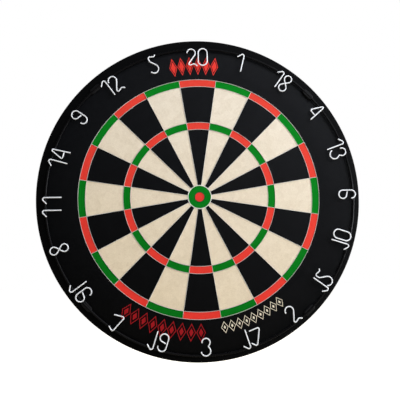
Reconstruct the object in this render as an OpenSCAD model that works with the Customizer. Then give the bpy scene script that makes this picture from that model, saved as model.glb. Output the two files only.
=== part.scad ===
// Bristle dartboard with a removable wire number ring.
// Each piece is laid out on a board that lies on its back: x to the right, y up the face and z towards the
// player, with z = 0 at the backboard's rear face. stand() then turns it upright, with the face towards -Y.

/* [Board] */
// Overall diameter, over the rim band
board_d = 455; // [440:1:470]
// Thickness of the chipboard backboard
backboard_t = 12; // [10:0.5:16]
// Thickness of the undyed sisal behind the blades
core_t = 16; // [10:0.5:24]
// Depth of the dyed beds, which is how deep the blades are pressed in
bed_t = 10; // [8:0.5:14]
// Gap between a bed and the blade beside it
bed_fit = 0.1; // [0.05:0.05:0.2]

/* [Rim band] */
// Thickness of the steel band
band_t = 0.8; // [0.5:0.1:1.5]
// Radial gap between the band and the disc that it wraps
band_fit = 0.1; // [0.05:0.05:0.3]
// How far the band stops short of the sisal face
band_front_inset = 1.5; // [0.5:0.5:4]
// How far the band stops short of the rear face
band_rear_inset = 1; // [0.5:0.5:4]

/* [Scoring rings] */
// Outer radius of the doubles, on the blade's centre line
double_outer_r = 169.5; // [160:0.5:176]
// Outer radius of the trebles
treble_outer_r = 107; // [96:0.5:118]
// Width of the doubles and of the trebles, between the blades' centre lines
narrow_ring_w = 10.2; // [6:0.1:12]
// Radius of the outer bull
outer_bull_r = 16.4; // [14:0.1:18]
// Radius of the bullseye
bullseye_r = 6.8; // [5:0.05:8]

/* [Blades] */
// Thickness of a blade
blade_t = 0.5; // [0.4:0.1:1.2]
// Thickness of the outer bull's heavier ring
bull_ring_t = 1.1; // [0.8:0.1:2.4]
// How far a blade's ridge stands out of the sisal
blade_proud = 0.6; // [0.4:0.1:1.6]
// Width of the flat on a blade's ridge
ridge_w = 0.3; // [0.2:0.1:0.4]
// Gap in the cross laps of radial and ring blades
lap_fit = 0.1; // [0.05:0.05:0.2]

/* [Number ring] */
// How far the hoop's centre line lies inside the board's edge
hoop_inset = 12; // [9:0.5:16]
// Diameter of the hoop's wire
hoop_wire_d = 3.2; // [2.5:0.1:4]
// How far the ring hangs to the right of the board's centre
ring_right = 2; // [0:0.5:3]
// How far the ring hangs below the board's centre
ring_drop = 2.2; // [0:0.2:4]
// Height of a wire digit, from tip to tip of its centre line
digit_h = 24.5; // [20:0.5:28]
// Diameter of the digits' wire
digit_wire_d = 1.7; // [1.4:0.1:3]
// How deep a digit is welded into the hoop
weld_depth = 0.25; // [0.1:0.05:0.4]
// Smallest radius on the inside of a bend in a digit
bend_inside_r = 0.2; // [0.1:0.1:0.4]
// Smallest gap between a digit's end and the rest of its wire
wire_gap = 0.15; // [0.1:0.05:0.3]

/* [Ring clips] */
// Length of a clip along the hoop
clip_len = 18; // [14:0.5:26]
// Width of a clip across the hoop
clip_w = 7.5; // [6:0.1:9]
// Thickness of the clip's floor, under the hoop
clip_floor = 1.2; // [0.8:0.1:2]
// Gap between the clip's floor and the sisal
clip_seat = 0.3; // [0.2:0.05:0.6]
// Radial gap between the clip's jaws and the hoop
hoop_fit = 0.1; // [0.05:0.01:0.1]
// How far the jaws stop below the hoop's crown, so that the digits pass over them
jaw_drop = 0.7; // [0.6:0.05:0.9]
// Diameter of a clip's legs
leg_d = 2.2; // [1.6:0.1:3]
// Length of the legs in the sisal
leg_len = 6; // [4:0.5:6.5]
// Distance between the two legs
leg_spacing = 10; // [8:0.5:11]
// Radial gap between a leg and its hole
leg_fit = 0.3; // [0.3:0.05:0.5]

/* [Hanger screw] */
// Diameter of the screw's shank
hanger_d = 5; // [4:0.5:6]
// Length of the shank in the backboard
hanger_depth = 9; // [6:0.5:9.5]
// Diameter of the screw's head
hanger_head_d = 12; // [9:0.5:14]
// Height of the screw's domed head
hanger_head_h = 3; // [2:0.5:4]
// Width of the cross cut in the screw's head
hanger_cross_w = 1.4; // [1:0.1:2]
// Depth of the cross
hanger_cross_depth = 1.5; // [0.8:0.1:1.8]
// Gap behind the head, where the wall bracket goes in
bracket_gap = 4.5; // [3:0.5:6]
// Outside diameter of the washer
washer_d = 18; // [14:0.5:24]
// Thickness of the washer
washer_t = 1.2; // [0.8:0.1:2]
// Radial gap between a screw and its hole
screw_fit = 0.1; // [0.05:0.05:0.2]

/* [Feet] */
// How far the feet's centres lie inside the board's edge
foot_inset = 37.5; // [24:0.5:60]
// Diameter of a foot at the backboard
foot_d = 24; // [20:1:32]
// Height of a foot, which keeps the hanger clear of the wall
foot_h = 11; // [10.5:0.5:16]
// How much narrower a foot is at the wall
foot_taper = 4; // [0:0.5:5]
// Diameter of a foot screw's shank
foot_screw_d = 4; // [3:0.5:5]
// Length of a foot screw in the backboard
foot_screw_depth = 8; // [6:0.5:9]
// Diameter of a foot screw's head
foot_head_d = 7.6; // [6.5:0.1:9]
// Height of a foot screw's head
foot_head_h = 2.6; // [2:0.1:3.2]
// Width of the slot in a foot screw's head
foot_slot_w = 1; // [0.6:0.1:1.4]
// Depth of the slot
foot_slot_depth = 1.2; // [0.6:0.1:1.6]
// Thickness of rubber under the screw's head
foot_floor = 5; // [3:0.5:7]
// Radial gap round a foot screw's head
foot_head_fit = 0.5; // [0.3:0.1:1]

/* [Hidden] */
$fn = 96;

// Twenty sectors, with the first one in the middle at the top.
sectors = 20;
sector_angle = 360 / sectors;

// Inner radii of the doubles and the trebles.
double_inner_r = double_outer_r - narrow_ring_w;
treble_inner_r = treble_outer_r - narrow_ring_w;

// Heights of the layers above the rear face.
z_core = backboard_t;
z_beds = z_core + core_t;
z_face = z_beds + bed_t;
disc_r = board_d / 2 - band_t - band_fit;
lap_z = bed_t / 2;
// Extra length of a cutting tool past the face that it leaves by.
past = 1;

// Number ring: the hoop lies on the clips' floors, and the digits lie on the hoop's crown.
hoop_r = board_d / 2 - hoop_inset;
z_hoop = z_face + clip_seat + clip_floor + hoop_fit + hoop_wire_d / 2;
z_crown = z_hoop + hoop_wire_d / 2;
z_digits = z_crown + digit_wire_d / 2 - weld_depth;
clip_bearings = [46.5, 137, 227.5, 317];
leg_hole_r = leg_d / 2 + leg_fit;

// Feet: one at the top and two below, on a circle.
foot_circle_r = board_d / 2 - foot_inset;
foot_bearings = [0, 120, 240];
foot_hole_r = foot_screw_d / 2 + screw_fit;

// Wire digits as a wire is bent: a start point and heading, then [feed, turn, bend radius] for each bend,
// on a digit whose centre line is drawn_h tall. A left turn is positive.
drawn_h = 25;
digit_scale = digit_h / drawn_h;
tightest_bend = digit_wire_d / 2 + bend_inside_r;
// A bead at each joint of the wire is this much larger in radius than the wire.
bead_growth = 0.03;
bead_turn = 40;
// A wire's end stays this far from another stretch of the same wire, centre line to centre line.
end_gap = (digit_wire_d + wire_gap) / digit_scale;
DIGITS = [
    [[0, 6.5], 270, [[0, 180, 6.5], [12, 180, 6.5], [12, 0, 0]]],
    [[0, 20.5], 45, [[6, -135, 2.5], [23, 0, 0]]],
    [[0, 18.8], 85, [[0, -210, 6], [13.8, 145, 2], [4, -60, 3], [3, 0, 0]]],
    [[0, 18.2], 90, [[0, -215, 5.6], [1.5, 75, 1.6], [1.5, -205, 6.5]]],
    [[11.6 - end_gap, 8.2], 180, [[8.8 - end_gap, -115, 1.6], [15.5, -152, 1.5], [24, 0, 0]]],
    [[12.3, 25.6], 225, [[1.5, -60, 2], [4.5, 110, 2.4], [2.5, 40, 4], [9.4, -190, 6.5]]],
    [[11.6, 18.8], 95, [[0, 175, 5.8], [12.3, 180, 6], [0, 75, 5], [7.7 - end_gap, 0, 0]]],
    [[1.7, 21.8], 3, [[11.5, -118, 2], [19.5, -110, 2.4], [5, 0, 0]]],
    [[5.3 + end_gap * cos(45), 12.7 + end_gap * sin(45)], 45,
        [[5.3 - end_gap, 270, 5.3], [10.6, -270, 5.4], [5.4 - end_gap, 0, 0]]],
    [[0.4, 6.2], 275, [[0, 175, 5.8], [12.3, 180, 6], [0, 75, 5], [7.7 - end_gap, 0, 0]]]
];

// The twenty numerals in order, clockwise from the top. Each has its digits, where each digit's left end lies
// along the hoop, how far its outer end passes the hoop, its lean, and 1 if its foot is the outer end.
NUMERALS = [
    [[2, 0], [-17, -0.6], 0.2, 0, 0],
    [[1], [-8], 0.8, 4, 0],
    [[1, 8], [-14.4, -1.6], 1.9, 0, 0],
    [[4], [-8.4], 3, 2, 0],
    [[1, 3], [-16.5, -3.2], 2.5, 2, 0],
    [[6], [-8.8], 3.5, 0, 0],
    [[1, 0], [-10, 2.5], 0.8, 0, 1],
    [[1, 5], [-9.8, 1.2], 0.5, 0, 1],
    [[2], [-3], -0.6, 0, 1],
    [[1, 7], [-11.5, 1], -0.2, 0, 1],
    [[3], [-3], -0.3, 0, 1],
    [[1, 9], [-12, 2], 0.9, 0, 1],
    [[7], [-0.2], 3.5, 18, 1],
    [[1, 6], [-11.4, 3.8], 3.8, 0, 1],
    [[8], [-1.2], 4, 0, 1],
    [[1, 1], [-23, -4.8], 2.6, 0, 0],
    [[1, 4], [-18, -5.4], 1.9, 2, 0],
    [[9], [-11.4], 1.3, 0, 0],
    [[1, 2], [-17.8, -6], 0, 0.5, 0],
    [[5], [-8.5], -0.6, 0, 0]
];

// Turns the lying board upright.
module stand() {
    rotate([90, 0, 0]) children();
}

// Turns a piece drawn at the top of the face to a clockwise bearing.
module at_bearing(bearing) {
    rotate([0, 0, -bearing]) children();
}

// Carries what belongs to the number ring to where the ring hangs.
module on_ring() {
    translate([ring_right, -ring_drop, 0]) children();
}

module tube(inner_r, outer_r, height) {
    difference() {
        cylinder(r = outer_r, h = height);
        translate([0, 0, -past]) cylinder(r = inner_r, h = height + 2 * past);
    }
}

module backboard() {
    color("burlywood") stand() difference() {
        cylinder(r = disc_r, h = backboard_t);
        translate([0, 0, -past]) cylinder(d = hanger_d + 2 * screw_fit, h = hanger_depth + screw_fit + past);
        for (bearing = foot_bearings)
            at_bearing(bearing) translate([0, foot_circle_r, -past])
                cylinder(r = foot_hole_r, h = foot_screw_depth + screw_fit + past);
    }
}

module sisal_core() {
    color("tan") stand() translate([0, 0, z_core]) cylinder(r = disc_r, h = core_t);
}

module rim_band() {
    color("black") stand() translate([0, 0, band_rear_inset])
        tube(board_d / 2 - band_t, board_d / 2, z_face - band_front_inset - band_rear_inset);
}

// The field under the numbers, with a pair of holes for each clip's legs.
module surround_bed() {
    color([0.09, 0.09, 0.1]) stand() difference() {
        translate([0, 0, z_beds]) tube(double_outer_r + blade_t / 2 + bed_fit, disc_r, bed_t);
        on_ring() for (bearing = clip_bearings)
            at_bearing(bearing) translate([0, hoop_r, 0]) clip_legs(leg_hole_r, leg_len + leg_fit, past);
    }
}

// Every second bed of one ring, from the sector with this number.
module beds(first, inner_r, outer_r) {
    slot_w = blade_t + 2 * bed_fit;
    stand() translate([0, 0, z_beds])
        for (sector = [first : 2 : sectors - 1])
            at_bearing((sector + 0.5) * sector_angle) rotate([0, 0, 90]) difference() {
                rotate_extrude(angle = sector_angle)
                    translate([inner_r, 0]) square([outer_r - inner_r, bed_t]);
                for (side = [0, sector_angle])
                    rotate([0, 0, side]) translate([0, -slot_w / 2, -past])
                        cube([outer_r + past, slot_w, bed_t + 2 * past]);
            }
}

module double_beds(first) {
    beds(first, double_inner_r + blade_t / 2 + bed_fit, double_outer_r - blade_t / 2 - bed_fit);
}

module double_beds_red() {
    color("firebrick") double_beds(0);
}

module double_beds_green() {
    color("seagreen") double_beds(1);
}

module outer_single_beds(first) {
    beds(first, treble_outer_r + blade_t / 2 + bed_fit, double_inner_r - blade_t / 2 - bed_fit);
}

module outer_single_beds_black() {
    color([0.09, 0.09, 0.1]) outer_single_beds(0);
}

module outer_single_beds_cream() {
    color("cornsilk") outer_single_beds(1);
}

module treble_beds(first) {
    beds(first, treble_inner_r + blade_t / 2 + bed_fit, treble_outer_r - blade_t / 2 - bed_fit);
}

module treble_beds_red() {
    color("firebrick") treble_beds(0);
}

module treble_beds_green() {
    color("seagreen") treble_beds(1);
}

module inner_single_beds(first) {
    beds(first, outer_bull_r + bull_ring_t / 2 + bed_fit, treble_inner_r - blade_t / 2 - bed_fit);
}

module inner_single_beds_black() {
    color([0.09, 0.09, 0.1]) inner_single_beds(0);
}

module inner_single_beds_cream() {
    color("cornsilk") inner_single_beds(1);
}

module outer_bull_bed() {
    color("seagreen") stand() translate([0, 0, z_beds])
        tube(bullseye_r + blade_t / 2 + bed_fit, outer_bull_r - bull_ring_t / 2 - bed_fit, bed_t);
}

module bullseye_bed() {
    color("firebrick") stand() translate([0, 0, z_beds])
        cylinder(r = bullseye_r - blade_t / 2 - bed_fit, h = bed_t);
}

// Section of a blade: straight in the sisal, and sloped to a narrow ridge above it.
module blade_section(thickness) {
    polygon([
        [-thickness / 2, 0],
        [thickness / 2, 0],
        [thickness / 2, bed_t],
        [ridge_w / 2, bed_t + blade_proud],
        [-ridge_w / 2, bed_t + blade_proud],
        [-thickness / 2, bed_t]
    ]);
}

// A radial blade runs over the ring blades, and is notched from below for each of them.
module radial_blades() {
    start_r = outer_bull_r + bull_ring_t / 2 + lap_fit;
    end_r = double_outer_r + blade_t / 2;
    notch_w = blade_t + 2 * lap_fit;
    color("silver") stand() translate([0, 0, z_beds])
        for (sector = [0 : sectors - 1])
            at_bearing((sector + 0.5) * sector_angle) difference() {
                translate([0, start_r, 0]) rotate([90, 0, 180])
                    linear_extrude(end_r - start_r) blade_section(blade_t);
                for (ring_r = [double_outer_r, double_inner_r, treble_outer_r, treble_inner_r])
                    translate([-blade_t, ring_r - notch_w / 2, -past])
                        cube([2 * blade_t, notch_w, lap_z + lap_fit + past]);
            }
}

// A ring blade is notched from above where the radial blades cross it.
module ring_blade(ring_r) {
    notch_w = blade_t + 2 * lap_fit;
    color("silver") stand() translate([0, 0, z_beds]) difference() {
        rotate_extrude() translate([ring_r, 0]) blade_section(blade_t);
        for (sector = [0 : sectors - 1])
            at_bearing((sector + 0.5) * sector_angle)
                translate([-notch_w / 2, ring_r - blade_t, lap_z])
                    cube([notch_w, 2 * blade_t, bed_t + blade_proud]);
    }
}

module bull_ring(ring_r, thickness) {
    color("silver") stand() translate([0, 0, z_beds])
        rotate_extrude() translate([ring_r, 0]) blade_section(thickness);
}

module number_ring_hoop() {
    color("black") stand() on_ring() translate([0, 0, z_hoop])
        rotate_extrude() translate([hoop_r, 0]) circle(d = hoop_wire_d);
}

// A bead whose poles lie along the wire, and whose seam is turned away from the wire's own.
module wire_bead(at, heading) {
    translate([at[0], at[1], 0]) rotate([0, 90, heading]) rotate([0, 0, bead_turn])
        sphere(d = digit_wire_d + 2 * bead_growth);
}

// Feeds and bends one length of wire, from a point and a heading. A bead rounds each end and closes
// each joint.
module bent_wire(at, heading, bends, step = 0) {
    feed = bends[step][0] * digit_scale;
    turn = bends[step][1];
    bend_r = max(bends[step][2] * digit_scale, tightest_bend);
    elbow = at + feed * [cos(heading), sin(heading)];
    pivot = elbow + sign(turn) * bend_r * [-sin(heading), cos(heading)];
    next_heading = heading + turn;
    next_at = turn == 0 ? elbow : pivot + sign(turn) * bend_r * [sin(next_heading), -cos(next_heading)];
    wire_bead(at, heading);
    if (feed > 0)
        translate([at[0], at[1], 0]) rotate([0, 90, heading]) cylinder(d = digit_wire_d, h = feed);
    if (feed > 0)
        wire_bead(elbow, heading);
    if (turn != 0)
        translate([pivot[0], pivot[1], 0]) rotate([0, 0, turn > 0 ? heading - 90 : next_heading + 90])
            rotate_extrude(angle = abs(turn)) translate([bend_r, 0]) circle(d = digit_wire_d);
    if (turn != 0)
        wire_bead(next_at, next_heading);
    if (step + 1 < len(bends))
        bent_wire(next_at, next_heading, bends, step + 1);
}

// One digit with its left end at x = 0 and its foot at y = 0. A 1 whose foot is welded to the hoop is
// turned over.
module wire_digit(digit, foot_out) {
    turned_over = digit == 1 && foot_out == 1;
    translate([0, turned_over ? digit_h : 0, 0]) mirror([0, turned_over ? 1 : 0, 0])
        bent_wire(DIGITS[digit][0] * digit_scale, DIGITS[digit][1], DIGITS[digit][2]);
}

module numeral(index) {
    digits = NUMERALS[index][0];
    lefts = NUMERALS[index][1];
    overhang = NUMERALS[index][2];
    lean = NUMERALS[index][3];
    foot_out = NUMERALS[index][4];
    color("whitesmoke") stand() on_ring() at_bearing(index * sector_angle)
        translate([0, hoop_r + overhang, z_digits]) rotate([0, 0, 180 * foot_out])
            translate([0, foot_out == 1 ? 0 : -digit_h, 0]) rotate([0, 0, lean])
                for (place = [0 : len(digits) - 1])
                    translate([lefts[place] * digit_scale, 0, 0]) wire_digit(digits[place], foot_out);
}

// A pair of legs that reach this far into the sisal, and rise this far above it.
module clip_legs(radius, depth, rise) {
    for (side = [-1, 1])
        translate([side * leg_spacing / 2, 0, z_face - depth]) cylinder(r = radius, h = depth + rise);
}

// A clip's outline from the front: straight sides and round ends.
module clip_outline() {
    square([clip_len - clip_w, clip_w], center = true);
    for (side = [-1, 1])
        translate([side * (clip_len - clip_w) / 2, 0]) circle(d = clip_w);
}

// A clip: jaws that hold the hoop up to just below its crown, and two legs in the sisal.
module ring_clip(index) {
    bottom = z_face + clip_seat;
    top = z_crown - jaw_drop;
    color([0.05, 0.05, 0.05]) stand() on_ring() at_bearing(clip_bearings[index]) {
        difference() {
            translate([0, hoop_r, bottom]) linear_extrude(top - bottom) clip_outline();
            translate([0, 0, z_hoop]) rotate_extrude()
                translate([hoop_r, 0]) circle(d = hoop_wire_d + 2 * hoop_fit);
        }
        translate([0, hoop_r, 0]) clip_legs(leg_d / 2, leg_len, clip_seat + clip_floor / 2);
    }
}

// The screw that hangs the board: shank in the backboard, a free neck for the bracket, and a slotted dome.
module hanger_screw() {
    neck = washer_t + bracket_gap;
    dome_r = (pow(hanger_head_d / 2, 2) + pow(hanger_head_h, 2)) / (2 * hanger_head_h);
    color("silver") stand() difference() {
        union() {
            translate([0, 0, -neck]) cylinder(d = hanger_d, h = neck + hanger_depth);
            intersection() {
                translate([0, 0, -neck - hanger_head_h]) cylinder(d = hanger_head_d, h = hanger_head_h);
                translate([0, 0, dome_r - neck - hanger_head_h]) sphere(r = dome_r);
            }
        }
        for (turn = [0, 90])
            rotate([0, 0, turn]) translate([-hanger_d / 2, -hanger_cross_w / 2, -neck - hanger_head_h - past])
                cube([hanger_d, hanger_cross_w, hanger_cross_depth + past]);
    }
}

module hanger_washer() {
    color("silver") stand() translate([0, 0, -washer_t])
        tube(hanger_d / 2 + screw_fit, washer_d / 2, washer_t);
}

// A rubber foot: a blunt cone with a recess for its screw.
module foot(index) {
    color([0.12, 0.12, 0.12]) stand() at_bearing(foot_bearings[index]) translate([0, foot_circle_r, -foot_h])
        difference() {
            cylinder(d1 = foot_d - foot_taper, d2 = foot_d, h = foot_h);
            translate([0, 0, -past]) cylinder(r = foot_hole_r, h = foot_h + 2 * past);
            translate([0, 0, -past])
                cylinder(d = foot_head_d + 2 * foot_head_fit, h = foot_h - foot_floor + past);
        }
}

module foot_screws() {
    color("silver") stand() for (bearing = foot_bearings)
        at_bearing(bearing) translate([0, foot_circle_r, -foot_floor]) difference() {
            union() {
                cylinder(d = foot_screw_d, h = foot_floor + foot_screw_depth);
                translate([0, 0, -foot_head_h]) cylinder(d = foot_head_d, h = foot_head_h);
            }
            translate([-foot_head_d, -foot_slot_w / 2, -foot_head_h - past])
                cube([2 * foot_head_d, foot_slot_w, foot_slot_depth + past]);
        }
}

backboard();
sisal_core();
rim_band();
surround_bed();
double_beds_red();
double_beds_green();
outer_single_beds_black();
outer_single_beds_cream();
treble_beds_red();
treble_beds_green();
inner_single_beds_black();
inner_single_beds_cream();
outer_bull_bed();
bullseye_bed();
radial_blades();
ring_blade(double_outer_r);  // double_ring_outer_blade
ring_blade(double_inner_r);  // double_ring_inner_blade
ring_blade(treble_outer_r);  // treble_ring_outer_blade
ring_blade(treble_inner_r);  // treble_ring_inner_blade
bull_ring(outer_bull_r, bull_ring_t);  // outer_bull_ring
bull_ring(bullseye_r, blade_t);  // inner_bull_ring
number_ring_hoop();
numeral(0);  // numeral_20
numeral(1);  // numeral_1
numeral(2);  // numeral_18
numeral(3);  // numeral_4
numeral(4);  // numeral_13
numeral(5);  // numeral_6
numeral(6);  // numeral_10
numeral(7);  // numeral_15
numeral(8);  // numeral_2
numeral(9);  // numeral_17
numeral(10);  // numeral_3
numeral(11);  // numeral_19
numeral(12);  // numeral_7
numeral(13);  // numeral_16
numeral(14);  // numeral_8
numeral(15);  // numeral_11
numeral(16);  // numeral_14
numeral(17);  // numeral_9
numeral(18);  // numeral_12
numeral(19);  // numeral_5
ring_clip(0);  // ring_clip_1
ring_clip(1);  // ring_clip_2
ring_clip(2);  // ring_clip_3
ring_clip(3);  // ring_clip_4
hanger_screw();
hanger_washer();
foot(0);  // foot_1
foot(1);  // foot_2
foot(2);  // foot_3
foot_screws();
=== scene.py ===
# Looks of a bristle dartboard with a wire number ring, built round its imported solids.
# The board hangs with its face towards -Y and its top towards +Z; the origin is the middle of its back.
import math

import bmesh
import bpy
from mathutils import Matrix, Vector


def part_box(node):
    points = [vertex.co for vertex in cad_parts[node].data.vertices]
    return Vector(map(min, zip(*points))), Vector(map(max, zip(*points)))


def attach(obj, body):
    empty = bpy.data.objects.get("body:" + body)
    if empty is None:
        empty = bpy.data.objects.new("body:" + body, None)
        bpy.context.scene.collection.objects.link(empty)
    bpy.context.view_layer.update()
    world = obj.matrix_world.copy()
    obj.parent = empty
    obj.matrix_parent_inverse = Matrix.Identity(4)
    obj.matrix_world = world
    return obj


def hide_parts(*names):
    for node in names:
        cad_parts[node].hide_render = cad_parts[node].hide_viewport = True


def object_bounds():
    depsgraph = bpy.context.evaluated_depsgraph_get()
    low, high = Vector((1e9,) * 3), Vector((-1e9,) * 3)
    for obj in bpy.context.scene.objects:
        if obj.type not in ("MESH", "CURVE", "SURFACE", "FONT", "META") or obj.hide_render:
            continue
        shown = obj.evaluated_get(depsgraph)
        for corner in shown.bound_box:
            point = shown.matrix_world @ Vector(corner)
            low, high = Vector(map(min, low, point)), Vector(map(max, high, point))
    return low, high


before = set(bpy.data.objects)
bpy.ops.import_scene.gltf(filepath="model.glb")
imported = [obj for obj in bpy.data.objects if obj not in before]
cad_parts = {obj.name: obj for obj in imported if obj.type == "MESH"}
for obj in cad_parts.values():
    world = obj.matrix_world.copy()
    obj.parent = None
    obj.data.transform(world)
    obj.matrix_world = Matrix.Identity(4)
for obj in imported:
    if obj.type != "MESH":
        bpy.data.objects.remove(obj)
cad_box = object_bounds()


# Backboard: a disc of raw chipboard that carries the sisal. Flat chips of many shades are pressed with glue
# and sanded; it is drilled from behind for the hanger and the feet.
class Wire:
    """One socket of a node tree. Arithmetic on it adds Math nodes, and add() puts in any other node."""

    def __init__(self, tree, socket=None):
        self.tree = tree
        self.socket = socket

    def add(self, kind, settings=None, values=None, output=0):
        node = self.tree.nodes.new(kind)
        for name, value in (settings or {}).items():
            if name == "stops":
                stops = node.color_ramp.elements
                stops.remove(stops[1])
                stops[0].position, stops[0].color = value[0]
                for position, colour in value[1:]:
                    stops.new(position).color = colour
            else:
                setattr(node, name, value)
        for name, value in (values or {}).items():
            for one in value if isinstance(value, list) else [value]:
                if isinstance(one, Wire):
                    self.tree.links.new(one.socket, node.inputs[name])
                else:
                    node.inputs[name].default_value = one
        return Wire(self.tree, node.outputs[output])

    def maths(self, operation, *values):
        return self.add("ShaderNodeMath", {"operation": operation}, dict(enumerate(values or (self,))))

    def axes(self):
        return [self.add("ShaderNodeSeparateXYZ", values={0: self}, output=axis) for axis in "XYZ"]

    def __add__(self, other):
        return self.maths("ADD", self, other)

    def __sub__(self, other):
        return self.maths("SUBTRACT", self, other)

    def __rsub__(self, other):
        return self.maths("SUBTRACT", other, self)

    def __mul__(self, other):
        return self.maths("MULTIPLY", self, other)

    def __truediv__(self, other):
        return self.maths("DIVIDE", self, other)

    def __rtruediv__(self, other):
        return self.maths("DIVIDE", other, self)

    def __lt__(self, other):
        return self.maths("LESS_THAN", self, other)

    def __gt__(self, other):
        return self.maths("GREATER_THAN", self, other)

    def __abs__(self):
        return self.maths("ABSOLUTE")

    __radd__ = __add__
    __rmul__ = __mul__


def start_finish(name):
    """A new material, and a wire that carries the piece's own coordinates in metres."""
    material = bpy.data.materials.new(name)
    material.use_nodes = True
    return material, Wire(material.node_tree).add("ShaderNodeTexCoord", output="Object")


def set_finish(material, **sockets):
    """Sets or links the sockets of a material's shader."""
    shader = material.node_tree.nodes["Principled BSDF"]
    for name, value in sockets.items():
        socket = shader.inputs[name.replace("_", " ")]
        if isinstance(value, Wire):
            material.node_tree.links.new(value.socket, socket)
        else:
            socket.default_value = value
    return material


def noise(place, grain, detail=2.0):
    """Soft noise whose lumps are about this many metres across."""
    return place.add("ShaderNodeTexNoise", values={"Vector": place, "Scale": 1 / grain, "Detail": detail})


def cells(place, size, output="Color"):
    """Cells about this many metres across: a random colour for each, or the distance from its middle."""
    return place.add("ShaderNodeTexVoronoi", values={"Vector": place, "Scale": 1 / size}, output=output)


def one_of(colour):
    """The first channel of a colour, as a number."""
    return colour.add("ShaderNodeSeparateColor", values={0: colour})


def blend(share, first, second):
    """A colour between two others."""
    return share.add("ShaderNodeMix", {"data_type": "RGBA"}, {0: share, 6: first, 7: second}, output=2)


def shades(share, *stops):
    """A colour ramp through these positions and colours."""
    return share.add("ShaderNodeValToRGB", {"stops": stops}, {0: share})


def relief(height, depth):
    """A surface normal from a height between 0 and 1 that stands for this many metres."""
    return height.add("ShaderNodeBump", values={"Height": height, "Distance": depth})


def chipboard():
    material, place = start_finish("raw_chipboard")
    chip_long, chip_wide, chips_deep = 0.008, 0.0025, 60
    chip_bend, patch_wide, dust_grain, sanded_depth = 0.012, 0.007, 0.0009, 0.0002
    chip_turns, one_third, two_thirds = (0.3, 1.4, 2.5), 0.34, 0.67
    wander = noise(place, chip_bend)
    layers = []
    for turn in chip_turns:
        turned_place = place.add(
            "ShaderNodeVectorRotate", {"rotation_type": "Y_AXIS"}, {"Vector": place, "Angle": turn})
        stretched = place.add("ShaderNodeMapping", values={
            "Vector": turned_place, "Scale": (1 / chip_long, chips_deep, 1 / chip_wide)})
        bent = place.add("ShaderNodeVectorMath", {"operation": "ADD"}, {0: stretched, 1: wander})
        layers.append(cells(bent, 1.0))
    patch = one_of(cells(place, patch_wide))
    chip = one_of(blend(patch < one_third, blend(patch < two_thirds, layers[0], layers[1]), layers[2]))
    colour = shades(
        chip,
        (0.0, (0.16, 0.095, 0.045, 1)), (0.25, (0.33, 0.215, 0.11, 1)),
        (0.7, (0.47, 0.33, 0.18, 1)), (1.0, (0.62, 0.47, 0.29, 1)))
    dust = noise(place, dust_grain, 1.0)
    dust_colour, dust_share = (0.4, 0.28, 0.15, 1), 0.25
    return set_finish(
        material, Base_Color=blend(dust * dust_share, colour, dust_colour),
        Roughness=0.75 + 0.15 * dust, Normal=relief(chip * 0.6 + dust * 0.4, sanded_depth))


def dress(material, *nodes):
    """Gives solids that are kept their finish."""
    for node in nodes:
        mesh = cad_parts[node].data
        mesh.materials.clear()
        mesh.materials.append(material)


dress(chipboard(), "backboard")


# Rim band: a strip of black painted steel, wrapped round the board, pulled tight and butt-welded at the
# bottom. The weld is ground flush, and the strip's edges are rolled so that they don't cut.
def start_tree(name, *sizes):
    """A Geometry Nodes tree with these named inputs, and a wire from each of them."""
    tree = bpy.data.node_groups.new(name, "GeometryNodeTree")
    kinds = {"Shape": "NodeSocketGeometry", "Piece": "NodeSocketObject", "Finish": "NodeSocketMaterial"}
    for size in sizes:
        tree.interface.new_socket(size, in_out="INPUT", socket_type=kinds.get(size, "NodeSocketFloat"))
    tree.interface.new_socket("Result", in_out="OUTPUT", socket_type="NodeSocketGeometry")
    entry = tree.nodes.new("NodeGroupInput")
    return tree, *(Wire(tree, entry.outputs[size]) for size in sizes)


def end_tree(shape, finish):
    """Makes copies real, gives the shape its finish and closes its tree."""
    real = shape.add("GeometryNodeRealizeInstances", values={0: shape})
    done = real.add("GeometryNodeSetMaterial", values={"Geometry": real, "Material": finish})
    way_out = done.tree.nodes.new("NodeGroupOutput")
    done.tree.links.new(done.socket, way_out.inputs[0])


def close_up(piece, sharp_angle=40):
    """Merges a mesh's doubles, turns its faces outwards and shades it, but keeps flats and sharp bends."""
    merge_within, face_on = 2e-6, 0.999999
    shape = bmesh.new()
    shape.from_mesh(piece.data)
    bmesh.ops.remove_doubles(shape, verts=shape.verts, dist=merge_within)
    bmesh.ops.recalc_face_normals(shape, faces=shape.faces)
    shape.to_mesh(piece.data)
    shape.free()
    for face in piece.data.polygons:
        face.use_smooth = abs(face.normal.y) < face_on
    piece.data.set_sharp_from_angle(angle=math.radians(sharp_angle))


def grow(name, tree, start=None, **sizes):
    """Runs a tree on a mesh with these inputs, and keeps what it makes as a plain closed mesh."""
    piece = bpy.data.objects.new(name, start or bpy.data.meshes.new(name))
    bpy.context.scene.collection.objects.link(piece)
    modifier = piece.modifiers.new("shape", "NODES")
    modifier.node_group = tree
    for socket in tree.interface.items_tree:
        size = socket.name.replace(" ", "_").lower()
        if size in sizes:
            modifier[socket.identifier] = sizes[size]
    evaluated = piece.evaluated_get(bpy.context.evaluated_depsgraph_get())
    mesh = bpy.data.meshes.new_from_object(evaluated)
    piece.modifiers.clear()
    piece.data = mesh
    mesh.name = name
    close_up(piece)
    return piece


def settle(piece, body, slot, *nodes):
    """Puts a finished piece on its body, in place of its solids."""
    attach(piece, body)
    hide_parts(*nodes)


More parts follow.
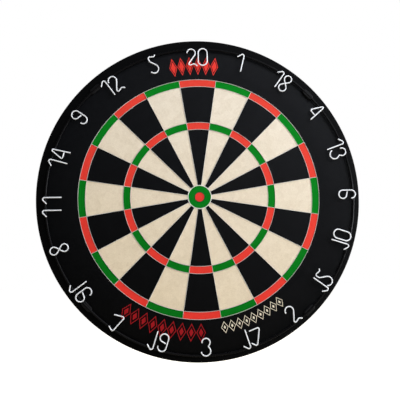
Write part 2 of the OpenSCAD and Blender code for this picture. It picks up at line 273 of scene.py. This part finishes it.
def rolled_ring():
    """A flat ring that is swept round the board's axis, with rounded edges."""
    tree, inner, outer, front, back, edge, finish = start_tree(
        "rolled_ring", "Inner radius", "Outer radius", "Front", "Back", "Edge", "Finish")
    edge_steps, sides = 6, 288
    section = inner.add(
        "GeometryNodeCurvePrimitiveQuadrilateral", values={"Width": outer - inner, "Height": front - back})
    section = section.add("GeometryNodeFilletCurve", {"mode": "POLY"}, {
        "Curve": section, "Count": edge_steps, "Radius": edge, "Limit Radius": True})
    path = inner.add(
        "GeometryNodeCurvePrimitiveCircle", values={"Resolution": sides, "Radius": (inner + outer) * 0.5})
    ring = path.add("GeometryNodeCurveToMesh", values={"Curve": path, "Profile Curve": section})
    middle_depth = inner.add("ShaderNodeCombineXYZ", values={"Y": (front + back) * -0.5})
    ring = ring.add("GeometryNodeTransform", values={
        "Geometry": ring, "Translation": middle_depth, "Rotation": (math.pi / 2, 0, 0)})
    end_tree(ring, finish)
    return tree


def band_paint():
    material, place = start_finish("black_band_paint")
    across, _, up = place.axes()
    peel_grain, scuff_grain, peel_depth = 0.0011, 0.02, 0.00003
    weld_half, grind_grain, grind_stretch = 0.004, 0.004, (1, 12, 1)
    ground_colour, ground_share = (0.035, 0.033, 0.032, 1), 0.7
    peel = noise(place, peel_grain)
    scuff = noise(place, scuff_grain, 6.0)
    weld = (abs(across) < weld_half) * (up < 0)
    along_weld = place.add("ShaderNodeMapping", values={"Vector": place, "Scale": grind_stretch})
    ground = noise(along_weld, grind_grain)
    colour = blend(scuff, (0.006, 0.006, 0.007, 1), (0.016, 0.016, 0.018, 1))
    return set_finish(
        material, Base_Color=blend(weld * ground * ground_share, colour, ground_colour),
        Roughness=0.34 + 0.2 * scuff + 0.12 * weld, Specular_IOR_Level=0.35,
        Normal=relief(peel + weld * ground * 2, peel_depth))


ring_sweep = rolled_ring()
band_low, band_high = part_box("rim_band")
band_thick, band_edge = 0.0008, 0.00034
settle(grow("steel_rim_band", ring_sweep, inner_radius=band_high[0] - band_thick, outer_radius=band_high[0],
            front=-band_low[1], back=-band_high[1], edge=band_edge, finish=band_paint()),
       "board", "band_paint", "rim_band")


# Sisal: plant fibre pressed hard in short bundles, with the fibres' ends to the front, and ground flush.
# The mass behind the blades keeps its own straw colour. The beds are dyed through, and carry painted
# light and shade: brighter towards the upper right, darker towards the lower left.
def fibre_ends(place):
    """How light each bundle, fibre's end and cloudy patch is, how light a fibre's end is, and its height."""
    bundle_wide, fibre_wide, cloud_wide = 0.009, 0.00042, 0.0028
    bundle = one_of(cells(place, bundle_wide))
    fibre = one_of(cells(place, fibre_wide))
    dent = cells(place, fibre_wide, "Distance")
    cloud = noise(place, cloud_wide, 3.0)
    lift = (bundle - 0.5) + (fibre - 0.5) * 2 + (cloud - 0.5) * 2.4
    return lift, fibre, fibre * 0.5 - dent * 0.5 + bundle * 0.3


def dye_and_painted_light(place, lift, dye, pale, painted_light_shift, mottle=0.1):
    """A dye, paler on light fibres, with painted light and shade: it gains these shares of red, green and
    blue at the upper right and loses them at the lower left.
    """
    across, _, up = place.axes()
    board_wide, aslant, pale_share = cad_box[1][0] - cad_box[0][0], 0.4, 0.3
    colour = blend(lift * mottle + pale_share, dye, pale)
    # Painted light and shade: the colour is lifted towards the upper right and lowered towards the lower
    # left.
    painted_light_share = (up + across * aslant) / board_wide + 0.5
    painted_shade_tint, painted_light_tint = ((*(1 + sign * share for share in painted_light_shift), 1) for sign in (-1, 1))
    return place.add(
        "ShaderNodeMix", {"data_type": "RGBA", "blend_type": "MULTIPLY"},
        {0: 1.0, 6: colour, 7: blend(painted_light_share, painted_shade_tint, painted_light_tint)}, output=2)


def sisal(name, dye, pale, gloss, painted_light_shift=(0, 0, 0), mottle=0.1, rough=0.82):
    material, place = start_finish(name)
    lift, fibre, height = fibre_ends(place)
    return set_finish(
        material, Base_Color=dye_and_painted_light(place, lift, dye, pale, painted_light_shift, mottle), Roughness=rough + 0.12 * fibre,
        Specular_IOR_Level=gloss, Normal=relief(height, ground_depth))


ground_depth = 0.00012
dress(sisal("natural_sisal", (0.44, 0.35, 0.21, 1), (0.68, 0.57, 0.39, 1), gloss=0.2), "sisal_core")

black_dye, black_pale = (0.0015, 0.0017, 0.0022, 1), (0.0052, 0.0057, 0.0072, 1)
# The last of these is painted light and shade: black is lifted towards the upper right and darkened towards
# the lower left.
black_gloss, black_rough, black_painted_light = 0.044, 0.34, (0.75, 0.75, 0.75)
black_sisal = sisal("black_sisal", black_dye, black_pale, black_gloss, black_painted_light, rough=black_rough)
# Each dye's last shares are painted light and shade: lighter at the upper right, darker at the lower left.
cream_sisal = sisal(
    "cream_sisal", (0.618, 0.522, 0.394, 1), (0.84, 0.757, 0.619, 1), gloss=0.1, painted_light_shift=(0.02, 0.06, 0.15),
    mottle=0.19)
red_sisal = sisal(
    "red_sisal", (0.63, 0.03, 0.02, 1), (0.8, 0.075, 0.052, 1), gloss=0.06, painted_light_shift=(-0.04, 0.18, 0.15))
green_sisal = sisal(
    "green_sisal", (0.0, 0.135, 0.005, 1), (0.003, 0.215, 0.017, 1), gloss=0.05, painted_light_shift=(0.0, 0.18, 0.28))


# Beds: the fields between the blades, ten of each colour in a ring, all of the same sisal. Where the blades
# are pressed in, they turn the edges of the sisal down a little, and the ground faces are never quite flat.
def sector_beds():
    """Every second bed of one ring: a sheet with sides along the blades, rolled edges and a flat back."""
    tree, inner, outer, slot, front, back, edge, first, finish = start_tree(
        "sector_beds", "Inner radius", "Outer radius", "Slot width", "Front", "Back", "Edge", "First bearing",
        "Finish")
    copies, lines_across, lines_out, crowding = 10, 29, 25, 0.92
    rise, lump, hollow = 0.002, 0.011, 0.00025
    half_sector = math.pi / (2 * copies)
    sheet = inner.add("GeometryNodeMeshGrid", values={"Vertices X": lines_across, "Vertices Y": lines_out})
    across, out, _ = inner.add("GeometryNodeInputPosition").axes()

    def crowded(share):
        """Draws the lines together near both edges."""
        return share - (share * math.tau).maths("SINE") * (crowding / math.tau)

    radius = inner + crowded(out + 0.5) * (outer - inner)
    half = half_sector - (slot / (2 * radius)).maths("ARCSINE")
    bearing = (2 * crowded(across + 0.5) - 1) * half
    to_side = (half - abs(bearing)) * radius
    to_arc = inner.maths("MINIMUM", radius - inner, outer - radius)
    inside = inner.maths("MAXIMUM", edge - inner.maths("MINIMUM", to_side, to_arc), 0)
    drop = edge - (edge * edge - inside * inside).maths("SQRT")
    face = inner.add("ShaderNodeCombineXYZ", values={
        "X": radius * bearing.maths("SINE"), "Y": drop - front, "Z": radius * bearing.maths("COSINE")})
    sheet = sheet.add("GeometryNodeSetPosition", values={"Geometry": sheet, "Position": face})
    walls = sheet.add("GeometryNodeExtrudeMesh", values={
        "Mesh": sheet, "Offset Scale": 0.0, "Individual": False})
    rear = Wire(tree, walls.socket.node.outputs["Top"])
    x, _, z = inner.add("GeometryNodeInputPosition").axes()
    flat = inner.add("ShaderNodeCombineXYZ", values={"X": x, "Y": 0 - back, "Z": z})
    walls = walls.add("GeometryNodeSetPosition", values={
        "Geometry": walls, "Selection": rear, "Position": flat})
    bed = inner.add("GeometryNodeJoinGeometry", values={0: [sheet, walls]})
    points = inner.add("GeometryNodePoints", values={"Count": copies})
    turn = first + inner.add("GeometryNodeInputIndex") * (math.tau / copies)
    beds = inner.add("GeometryNodeInstanceOnPoints", values={
        "Points": points, "Instance": bed, "Rotation": inner.add("ShaderNodeCombineXYZ", values={"Y": turn})})
    beds = beds.add("GeometryNodeRealizeInstances", values={0: beds})
    place = inner.add("GeometryNodeInputPosition")
    near_face = (0 - place.axes()[1]) > front - rise
    sag = inner.add("ShaderNodeCombineXYZ", values={"Y": noise(place, lump) * near_face * hollow})
    end_tree(beds.add("GeometryNodeSetPosition", values={"Geometry": beds, "Offset": sag}), finish)
    return tree


def ring_radius(node):
    """The radius of a ring blade, on the middle of its thickness."""
    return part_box(node)[1][0] - blade_thick / 2


blade_thick, bull_thick, bed_fit, bed_edge = 0.0005, 0.0011, 0.0001, 0.0002
gap = blade_thick / 2 + bed_fit
double_outer, double_inner = ring_radius("double_ring_outer_blade"), ring_radius("double_ring_inner_blade")
treble_outer, treble_inner = ring_radius("treble_ring_outer_blade"), ring_radius("treble_ring_inner_blade")
bull_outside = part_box("outer_bull_ring")[1][0]
bed_low, bed_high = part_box("bullseye_bed")
face_front, bed_back = -bed_low[1], -bed_high[1]
bed_sweep = sector_beds()
one_sector = math.pi / 10
for name, inside_r, outside_r, dyes in (
        ("double", double_inner + gap, double_outer - gap, ("red", "green")),
        ("outer_single", treble_outer + gap, double_inner - gap, ("black", "cream")),
        ("treble", treble_inner + gap, treble_outer - gap, ("red", "green")),
        ("inner_single", bull_outside + bed_fit, treble_inner - gap, ("black", "cream"))):
    for dye, bearing in zip(dyes, (0, one_sector)):
        finish = {"red": red_sisal, "green": green_sisal, "black": black_sisal, "cream": cream_sisal}[dye]
        settle(grow(f"{name}_sisal_{dye}", bed_sweep, inner_radius=inside_r, outer_radius=outside_r,
                    slot_width=2 * gap, front=face_front, back=bed_back, edge=bed_edge, first_bearing=bearing,
                    finish=finish),
               "board", f"sisal_{dye}", f"{name}_beds_{dye}")


# Bull: a green ring and a red disc of the same sisal, parted by a round blade and with another round the
# green. Their edges are turned down in the same way.
def rounded(*corners, steps=5):
    """A line through corners given as across, along and the radius that rounds them."""
    line = []
    for number, (across, along, radius) in enumerate(corners):
        corner = Vector((across, along))
        if radius == 0:
            line.append(tuple(corner))
            continue
        back = (Vector(corners[number - 1][:2]) - corner).normalized()
        on = (Vector(corners[number + 1][:2]) - corner).normalized()
        half = back.angle(on) / 2
        centre = corner + (back + on).normalized() * (radius / math.sin(half))
        start = corner + back * (radius / math.tan(half)) - centre
        sweep = start.angle_signed(corner + on * (radius / math.tan(half)) - centre)
        for step in range(steps + 1):
            line.append(tuple(centre + Matrix.Rotation(-sweep * step / steps, 2) @ start))
    return line


def loose(name, shape):
    """A mesh drawn in code, as an object."""
    mesh = bpy.data.meshes.new(name)
    shape.to_mesh(mesh)
    shape.free()
    piece = bpy.data.objects.new(name, mesh)
    bpy.context.scene.collection.objects.link(piece)
    return piece


def turned(name, line, sides, finish=None):
    """A piece turned round the Y axis from a line of radii and depths."""
    shape = bmesh.new()
    verts = [shape.verts.new((radius, depth, 0)) for radius, depth in line]
    edges = [shape.edges.new(pair) for pair in zip(verts, verts[1:])]
    bmesh.ops.spin(shape, geom=verts + edges, axis=(0, 1, 0), angle=math.tau, steps=sides, use_merge=True)
    piece = loose(name, shape)
    piece.data.materials.append(finish)
    close_up(piece)
    return piece


settle(grow("bull_sisal_green", ring_sweep, inner_radius=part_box("inner_bull_ring")[1][0] + bed_fit,
            outer_radius=bull_outside - bull_thick - bed_fit, front=face_front, back=bed_back, edge=bed_edge,
            finish=green_sisal),
       "board", "sisal_green", "outer_bull_bed")
bullseye_r, bullseye_sides = bed_high[0], 64
settle(turned("bullseye_sisal_red", rounded(
    (0, -face_front, 0), (bullseye_r, -face_front, bed_edge), (bullseye_r, -bed_back, 0), (0, -bed_back, 0)),
    bullseye_sides, red_sisal), "board", "sisal_red", "bullseye_bed")


# Surround: the black field outside the doubles, in one ring of sisal. Inside the number ring it is ground
# finer, and outside it is left rougher and darker. It has a pair of holes for each clip's legs, and a printed
# border of lozenges in red and cream.
def printed_sisal():
    material, place = start_finish("printed_black_sisal")
    lift, fibre, height = fibre_ends(place)
    across, _, up = place.axes()
    radius = (across * across + up * up).maths("SQRT")
    # The black carries painted light and shade, brighter towards the upper right and darker towards the lower
    # left.
    colour = dye_and_painted_light(place, lift, black_dye, black_pale, black_painted_light)
    wear_grain, least_ink, worn_ink = 0.0012, 0.8, 0.35
    line_outside, line_inside = 0.96, 0.8
    wear = noise(place, wear_grain, 3.0)
    # Each row: middle bearing in degrees, lozenges, width and height of one, middle radius, ink and fill
    rows = (
        (-1.5, 6, 0.0118, 0.028, 0.19, (0.72, 0.04, 0.03, 1), 0.62),
        (157.0, 9, 0.0105, 0.017, 0.183, (0.72, 0.66, 0.52, 1), 0.3),
        (-163.0, 9, 0.0135, 0.026, 0.187, (0.3, 0.008, 0.011, 1), 0.45))
    for middle_bearing, count, wide, high, middle_r, ink, fill in rows:
        turn = math.radians(middle_bearing)
        aside = across * math.cos(turn) - up * math.sin(turn)
        out = across * math.sin(turn) + up * math.cos(turn)
        along = place.maths("ARCTAN2", aside, out) * (middle_r / wide)
        in_row = abs(along) < count / 2
        shifted = along + (0.5 if count % 2 == 0 else 0.0)
        step = abs(shifted - shifted.maths("ROUND"))
        reach = step * 2 + abs(radius - middle_r) * (2 / high)
        border = (reach < line_outside) * (reach > line_inside)
        cover = in_row * (border + (reach < fill)) * (least_ink + worn_ink * wear)
        colour = blend(cover, colour, ink)
    right, high = across - ring_centre.x, up - ring_centre.z
    outside = (right * right + high * high) > hoop_r * hoop_r
    outer_black, outer_share = (0.0003, 0.0003, 0.0004, 1), 0.8
    return set_finish(
        material, Base_Color=blend(outside * outer_share, colour, outer_black),
        Roughness=black_rough + 0.12 * fibre + 0.35 * outside, Specular_IOR_Level=black_gloss,
        Normal=relief(height, ground_depth))


def drilled():
    """A shape with another piece cut out of it."""
    tree, shape, drill, finish = start_tree("drilled", "Shape", "Piece", "Finish")
    bits = shape.add("GeometryNodeObjectInfo", values={"Object": drill}, output="Geometry")
    bored = shape.add("GeometryNodeMeshBoolean", {"operation": "DIFFERENCE", "solver": "EXACT"}, {
        "Mesh 1": shape, "Mesh 2": bits})
    end_tree(bored, finish)
    return tree


def middle(node):
    """The middle of a solid's box."""
    low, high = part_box(node)
    return (Vector(low) + Vector(high)) / 2


def at_bearing(bearing, centre):
    """Turns a piece drawn at the top to a clockwise bearing round a centre on the face."""
    return Matrix.Translation((centre.x, 0, centre.z)) @ Matrix.Rotation(bearing, 4, "Y")


hoop_low, hoop_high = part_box("number_ring_hoop")
ring_centre = middle("number_ring_hoop")
hoop_thick = hoop_high[1] - hoop_low[1]
hoop_r = (hoop_high[0] - hoop_low[0] - hoop_thick) / 2
clip_nodes = [f"ring_clip_{number}" for number in range(1, 5)]
clip_offsets = [middle(node) - ring_centre for node in clip_nodes]
clip_bearings = [math.atan2(offset.x, offset.z) for offset in clip_offsets]
leg_half_spacing, hole_r, hole_depth, hole_sides = 0.005, 0.0014, 0.0063, 20
drill_shape = bmesh.new()
for bearing in clip_bearings:
    for side in (-1, 1):
        bit_place = Matrix.Translation((side * leg_half_spacing, -face_front, hoop_r))
        bmesh.ops.create_cone(
            drill_shape, cap_ends=True, segments=hole_sides, radius1=hole_r, radius2=hole_r,
            depth=2 * hole_depth,
            matrix=at_bearing(bearing, ring_centre) @ bit_place @ Matrix.Rotation(math.pi / 2, 4, "X"))
drill = loose("drill", drill_shape)
drilling = drilled()
printed = printed_sisal()
blank = grow("surround_blank", ring_sweep, inner_radius=double_outer + gap,
             outer_radius=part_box("backboard")[1][0], front=face_front, back=bed_back, edge=bed_edge,
             finish=printed)
settle(grow("surround_sisal_black", drilling, blank.data, piece=drill, finish=printed),
       "board", "sisal_black", "surround_bed")
bpy.data.objects.remove(drill)
bpy.data.objects.remove(blank)


# Blades: thin strips of rolled steel, pressed on edge into the sisal, ring by ring and sector by sector, with
# a narrow ridge that turns the points aside. The rings and the sectors are notched into each other.
def blade_steel(name, tone, metal):
    material, place = start_finish(name)
    patch_wide, warm = 0.004, (1, 0.985, 0.95)
    patch = noise(place, patch_wide, 4.0)
    dull, bright = ((*(share * tone * part for part in warm), 1) for share in (0.88, 1.08))
    return set_finish(
        material, Base_Color=blend(patch, dull, bright), Metallic=metal, Roughness=0.4 + 0.2 * patch)


dress(blade_steel("bright_blade", tone=0.78, metal=0.1), "radial_blades")
dress(blade_steel("grey_ring_blade", tone=0.66, metal=0.15), "double_ring_outer_blade",
      "double_ring_inner_blade", "treble_ring_outer_blade", "treble_ring_inner_blade")
dress(blade_steel("bright_bull_ring", tone=0.85, metal=0.15), "outer_bull_ring")
dress(blade_steel("dulled_bull_ring", tone=0.09, metal=0.8), "inner_bull_ring")


# Ring clips: four black plastic mouldings with two legs each, pushed into the surround. A round groove grips
# the hoop and lets it turn.
def clip_plastic():
    material, place = start_finish("black_clip_plastic")
    grain_wide, grain_depth = 0.0006, 0.00002
    grain = noise(place, grain_wide)
    return set_finish(
        material, Base_Color=blend(grain, (0.004, 0.004, 0.0045, 1), (0.0075, 0.0075, 0.0085, 1)),
        Roughness=0.42 + 0.14 * grain, Specular_IOR_Level=0.07, Normal=relief(grain, grain_depth))


def grooved_clips():
    """Copies of one clip round the ring: a body with a groove for the hoop, and a leg at each end."""
    tree, body, leg, groove_r, radius, depth, spacing, *rest = start_tree(
        "grooved_clips", "Shape", "Piece", "Groove radius", "Hoop radius", "Hoop depth", "Leg spacing",
        "Ring right", "Ring up", "Bearing 1", "Bearing 2", "Bearing 3", "Bearing 4", "Finish")
    right, up, *bearings, finish = rest
    arc, arc_steps, groove_sides = 0.16, 33, 28
    path = body.add("GeometryNodeCurveArc", values={
        "Resolution": arc_steps, "Radius": radius, "Start Angle": math.pi / 2 - arc / 2, "Sweep Angle": arc})
    section = body.add(
        "GeometryNodeCurvePrimitiveCircle", values={"Resolution": groove_sides, "Radius": groove_r})
    cutter = body.add("GeometryNodeCurveToMesh", values={
        "Curve": path, "Profile Curve": section, "Fill Caps": True})
    cutter = body.add("GeometryNodeTransform", values={
        "Geometry": cutter, "Translation": body.add("ShaderNodeCombineXYZ", values={"Y": depth}),
        "Rotation": (math.pi / 2, 0, 0)})
    peg = body.add("GeometryNodeObjectInfo", values={"Object": leg}, output="Geometry")
    leg_places = [body.add("ShaderNodeCombineXYZ", values={"X": spacing * side, "Z": radius})
                  for side in (-0.5, 0.5)]
    legs = [body.add("GeometryNodeTransform", values={"Geometry": peg, "Translation": leg_place})
            for leg_place in leg_places]
    clip = body.add(
        "GeometryNodeMeshBoolean", {"operation": "UNION", "solver": "EXACT"}, {"Mesh 2": [body, *legs]})
    clip = body.add("GeometryNodeMeshBoolean", {"operation": "DIFFERENCE", "solver": "EXACT"}, {
        "Mesh 1": clip, "Mesh 2": cutter})
    centre = body.add("ShaderNodeCombineXYZ", values={"X": right, "Z": up})
    clips = [body.add("GeometryNodeTransform", values={
        "Geometry": clip, "Translation": centre,
        "Rotation": body.add("ShaderNodeCombineXYZ", values={"Y": bearing})}) for bearing in bearings]
    end_tree(body.add("GeometryNodeJoinGeometry", values={0: clips}), finish)
    return tree


clip_long, clip_wide, clip_corner, clip_foot = 0.018, 0.0075, 0.0011, 0.0005
clip_seat, clip_sides, at_middle = 0.0003, 56, 1e-5
leg_r, leg_point, leg_root, leg_round, tip_r, tip_round = 0.0011, 0.002, 0.0009, 0.001, 0.0003, 0.0002
leg_sides, hoop_fit = 20, 0.0001
clip_low, clip_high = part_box("ring_clip_1")
clip_rear = -(face_front + clip_seat)
body_piece = turned("clip_body", rounded(
    (0, clip_low[1], 0), (clip_wide / 2, clip_low[1], clip_corner), (clip_wide / 2, clip_rear, clip_foot),
    (0, clip_rear, 0)), clip_sides)
for vertex in body_piece.data.vertices:
    if abs(vertex.co.x) > at_middle:
        vertex.co.x += math.copysign((clip_long - clip_wide) / 2, vertex.co.x)
    vertex.co.z += hoop_r
leg_piece = turned("clip_leg", rounded(
    (0, clip_rear - leg_root, 0), (leg_r, clip_rear - leg_root, 0),
    (leg_r, clip_high[1] - leg_point, leg_round), (tip_r, clip_high[1], tip_round), (0, clip_high[1], 0)),
    leg_sides)
settle(grow("moulded_ring_clips", grooved_clips(), body_piece.data, piece=leg_piece,
            groove_radius=hoop_thick / 2 + hoop_fit, hoop_radius=hoop_r, hoop_depth=ring_centre.y,
            leg_spacing=2 * leg_half_spacing, ring_right=ring_centre.x, ring_up=ring_centre.z,
            bearing_1=clip_bearings[0], bearing_2=clip_bearings[1], bearing_3=clip_bearings[2],
            bearing_4=clip_bearings[3], finish=clip_plastic()),
       "clip_set", "clip_plastic", *clip_nodes)
bpy.data.objects.remove(body_piece)
bpy.data.objects.remove(leg_piece)


# Hoop: one round of steel wire, bent to a circle and painted black. The clips hold it to the surround, and
# it turns in their grooves.
def hoop_paint():
    material, place = start_finish("black_hoop_paint")
    peel_grain, peel_depth = 0.0015, 0.00002
    peel = noise(place, peel_grain)
    return set_finish(
        material, Base_Color=blend(peel, (0.002, 0.002, 0.0024, 1), (0.0045, 0.0045, 0.0052, 1)),
        Roughness=0.22 + 0.1 * peel, Specular_IOR_Level=0.05, Normal=relief(peel, peel_depth))


dress(hoop_paint(), "number_ring_hoop")


# Numerals: round steel wire, bent to the twenty numbers and painted white. They are spot-welded on top of
# the hoop and turn with it.
def numeral_paint():
    material, place = start_finish("white_numeral_paint")
    film_grain, film_depth = 0.0018, 0.00003
    film = noise(place, film_grain, 3.0)
    return set_finish(
        material, Base_Color=blend(film, (0.72, 0.74, 0.79, 1), (0.81, 0.83, 0.87, 1)),
        Roughness=0.3 + 0.15 * film, Specular_IOR_Level=0.4, Normal=relief(film, film_depth))


dress(numeral_paint(), *(f"numeral_{number}" for number in range(1, 21)))


# Hanger: a zinc-plated screw at the centre of the back, over a pressed washer. Its domed head has a cross
# cut, and its neck stands free for a wall bracket.
def zinc():
    material, place = start_finish("zinc_plate")
    bloom_grain = 0.003
    bloom = noise(place, bloom_grain, 4.0)
    return set_finish(
        material, Base_Color=blend(bloom, (0.6, 0.6, 0.58, 1), (0.78, 0.79, 0.8, 1)), Metallic=1.0,
        Roughness=0.25 + 0.25 * bloom)


def domed_screw(name, shank_r, tip, seat, head_r, top, rise):
    """A turned screw whose head ends in a dome that rises from its rim."""
    bevel, tip_edge, dome_steps, sides = 0.0003, 0.0006, 10, 48
    shank = rounded((0, tip, 0), (shank_r, tip, tip_edge), (shank_r, seat, 0))
    rim = [(shank_r, seat), (head_r - bevel, seat), (head_r, seat + bevel)]
    turns = [math.pi / 2 * step / dome_steps for step in range(dome_steps + 1)]
    dome = [(head_r * math.cos(turn), top - rise + rise * math.sin(turn)) for turn in turns]
    return turned(name, [*shank, *rim, *dome], sides)


def slotted(name, screw, top, long, wide, deep, turn=0.0):
    """Cuts a slot across a screw's head."""
    slot_shape = bmesh.new()
    slot_place = Matrix.Rotation(turn, 4, "Y") @ Matrix.Translation((0, top, 0))
    bmesh.ops.create_cube(slot_shape, matrix=slot_place @ Matrix.Diagonal((long, 2 * deep, wide, 1)))
    slot = loose("slot", slot_shape)
    cut = grow(name, drilling, screw.data, piece=slot, finish=zinc_plate)
    bpy.data.objects.remove(screw)
    bpy.data.objects.remove(slot)
    return cut


zinc_plate = zinc()
washer_low, washer_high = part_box("hanger_washer")
washer_bore, washer_edge = 0.0026, 0.0003
settle(grow("pressed_washer", ring_sweep, inner_radius=washer_bore, outer_radius=washer_high[0],
            front=-washer_low[1], back=-washer_high[1], edge=washer_edge, finish=zinc_plate),
       "board", "screw_steel", "hanger_washer")
hanger_low, hanger_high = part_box("hanger_screw")
hanger_shank_r, hanger_head, hanger_rise = 0.0025, 0.003, 0.0024
cross_wide, cross_deep, cross_long = 0.0014, 0.0015, 0.0074
hanger = domed_screw("turned_hanger_screw", hanger_shank_r, hanger_low[1], hanger_high[1] - hanger_head,
                     hanger_high[0], hanger_high[1], hanger_rise)
hanger = slotted("half_cut_hanger_screw", hanger, hanger_high[1], cross_long, cross_wide, cross_deep)
hanger = slotted(
    "domed_hanger_screw", hanger, hanger_high[1], cross_long, cross_wide, cross_deep, turn=math.pi / 2)
settle(hanger, "board", "screw_steel", "hanger_screw")


# Feet: three turned rubber buffers that rest on the wall. Each tapers a little, and is held by a slotted
# screw whose head lies deep in a recess.
def foot_rubber():
    material, place = start_finish("black_foot_rubber")
    dust_grain, pore_grain, pore_depth = 0.004, 0.0004, 0.00003
    dust = noise(place, dust_grain, 5.0)
    return set_finish(
        material, Base_Color=blend(dust, (0.014, 0.014, 0.015, 1), (0.05, 0.048, 0.045, 1)),
        Roughness=0.7 + 0.2 * dust, Normal=relief(noise(place, pore_grain), pore_depth))


def set_out():
    """Copies of a shape round the board's axis, the first of them at the top."""
    tree, shape, radius, copies, finish = start_tree("set_out", "Shape", "Circle radius", "Copies", "Finish")
    raised = shape.add("GeometryNodeTransform", values={
        "Geometry": shape, "Translation": shape.add("ShaderNodeCombineXYZ", values={"Z": radius})})
    turn = shape.add("GeometryNodeInputIndex") * (math.tau / copies)
    end_tree(shape.add("GeometryNodeInstanceOnPoints", values={
        "Points": shape.add("GeometryNodePoints", values={"Count": copies}), "Instance": raised,
        "Rotation": shape.add("ShaderNodeCombineXYZ", values={"Y": turn})}), finish)
    return tree


setting_out = set_out()
foot_low, foot_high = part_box("foot_1")
foot_circle = middle("foot_1").z
foot_r = (foot_high[0] - foot_low[0]) / 2
foot_taper, foot_floor, foot_bore, foot_recess = 0.002, 0.005, 0.0021, 0.0043
seat_round, rest_round, lip_round, floor_round = 0.0004, 0.0016, 0.0005, 0.0003
foot_sides, foot_count = 72, 3.0
foot = turned("turned_foot", rounded(
    (foot_bore, 0, 0), (foot_r, 0, seat_round), (foot_r - foot_taper, foot_high[1], rest_round),
    (foot_recess, foot_high[1], lip_round), (foot_recess, foot_floor, floor_round),
    (foot_bore, foot_floor, 0), (foot_bore, 0, 0)), foot_sides)
settle(grow("rubber_feet", setting_out, foot.data, circle_radius=foot_circle, copies=foot_count,
            finish=foot_rubber()),
       "board", "foot_rubber", "foot_1", "foot_2", "foot_3")
bpy.data.objects.remove(foot)
screw_low, screw_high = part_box("foot_screws")
screw_shank_r, screw_head_r, screw_head, screw_rise = 0.002, 0.0038, 0.0026, 0.0015
slot_wide, slot_deep, slot_long = 0.001, 0.0012, 4 * screw_head_r
screw = domed_screw("turned_foot_screw", screw_shank_r, screw_low[1], screw_high[1] - screw_head,
                    screw_head_r, screw_high[1], screw_rise)
screw = slotted("slotted_screw", screw, screw_high[1], slot_long, slot_wide, slot_deep)
settle(grow("slotted_foot_screws", setting_out, screw.data, circle_radius=foot_circle, copies=foot_count,
            finish=zinc_plate),
       "board", "screw_steel", "foot_screws")
bpy.data.objects.remove(screw)


# Studio: a pale floor below the hanging board, white surroundings, a large soft lamp in front at the upper
# right, a second one behind, and a lit card at the right that shows only in glossy faces.
floor_z, floor_half, floor_patch, floor_glow = -0.42, 6.0, 0.3, 0.9
floor_mesh = bpy.data.meshes.new("floor")
floor_mesh.from_pydata(
    [(-floor_half, -floor_half, floor_z), (floor_half, -floor_half, floor_z),
     (floor_half, floor_half, floor_z), (-floor_half, floor_half, floor_z)], [], [(0, 1, 2, 3)])
floor = bpy.data.objects.new("floor", floor_mesh)
bpy.context.scene.collection.objects.link(floor)
floor_paint, floor_place = start_finish("pale_floor")
seen_glow = floor_place.add("ShaderNodeLightPath", output="Is Camera Ray") * floor_glow
floor_tone = noise(floor_place, floor_patch)
set_finish(
    floor_paint, Base_Color=blend(floor_tone, (0.84, 0.75, 0.58, 1), (0.88, 0.79, 0.62, 1)),
    Roughness=0.9, Specular_IOR_Level=0.0,
    Emission_Color=blend(seen_glow, (0, 0, 0, 1), (1, 1, 1, 1)), Emission_Strength=1.0)
floor_mesh.materials.append(floor_paint)

scene = bpy.context.scene
scene.view_settings.view_transform = "Standard"
scene.world = bpy.data.worlds.new("white_studio")
scene.world.use_nodes = True
sky = scene.world.node_tree
backdrop = sky.nodes["Background"]
seen_white, fill_light, low_tint, high_tint = 1.0, 0.175, (1.0, 0.93, 0.78, 1), (0.9, 0.97, 1.12, 1)
by_camera = Wire(sky).add("ShaderNodeLightPath", output="Is Camera Ray")
sky_strength = fill_light + by_camera * (seen_white - fill_light)
sky.links.new(sky_strength.socket, backdrop.inputs["Strength"])
sky_height = Wire(sky).add("ShaderNodeTexCoord", output="Generated").axes()[2]
sky_tint = blend(sky_height, low_tint, high_tint)
sky.links.new(blend(by_camera, sky_tint, (1, 1, 1, 1)).socket, backdrop.inputs["Color"])
daylight = (0.97, 1.0, 1.05)


def soft_lamp(name, place, aim, side, watts):
    """A square lamp of this side that faces its aim and isn't seen by the camera."""
    lamp = bpy.data.lights.new(name, "AREA")
    lamp.size = side
    lamp.energy = watts
    lamp.color = daylight
    holder = bpy.data.objects.new(name, lamp)
    holder.location = place
    holder.rotation_euler = (Vector(aim) - Vector(place)).to_track_quat("-Z", "Y").to_euler()
    holder.visible_camera = False
    scene.collection.objects.link(holder)
    return holder


soft_lamp("front_lamp", (0.75, -0.85, 0.67), aim=(0, 0, 0), side=1.2, watts=25.6)
soft_lamp("back_lamp", (-0.9, 1.3, 0.9), aim=(0, 0, 0), side=0.9, watts=16)
side_card = soft_lamp("side_card", (1.5, -0.22, -0.06), aim=(0.2, 0, -0.03), side=0.6, watts=44)
side_card.visible_diffuse = False


# Camera: about 0.8 m from the board, a little left of its middle and below it, turned up and right. Its place
# and its lens were fitted to the rings of the board.
eye = Vector((-0.03952, -0.8327, -0.08907))
ahead = Vector((0.0499, 0.9931, 0.106)).normalized()
upward = Vector((0.0136, -0.1068, 0.9942))
sideways = ahead.cross(upward).normalized()
camera = bpy.data.objects.new("camera", bpy.data.cameras.new("camera"))
camera.data.lens = 51.31
camera.data.sensor_width = 36
facing = Matrix((sideways, sideways.cross(ahead), -ahead)).transposed()
camera.matrix_world = Matrix.Translation(eye) @ facing.to_4x4()
scene.collection.objects.link(camera)
scene.camera = camera
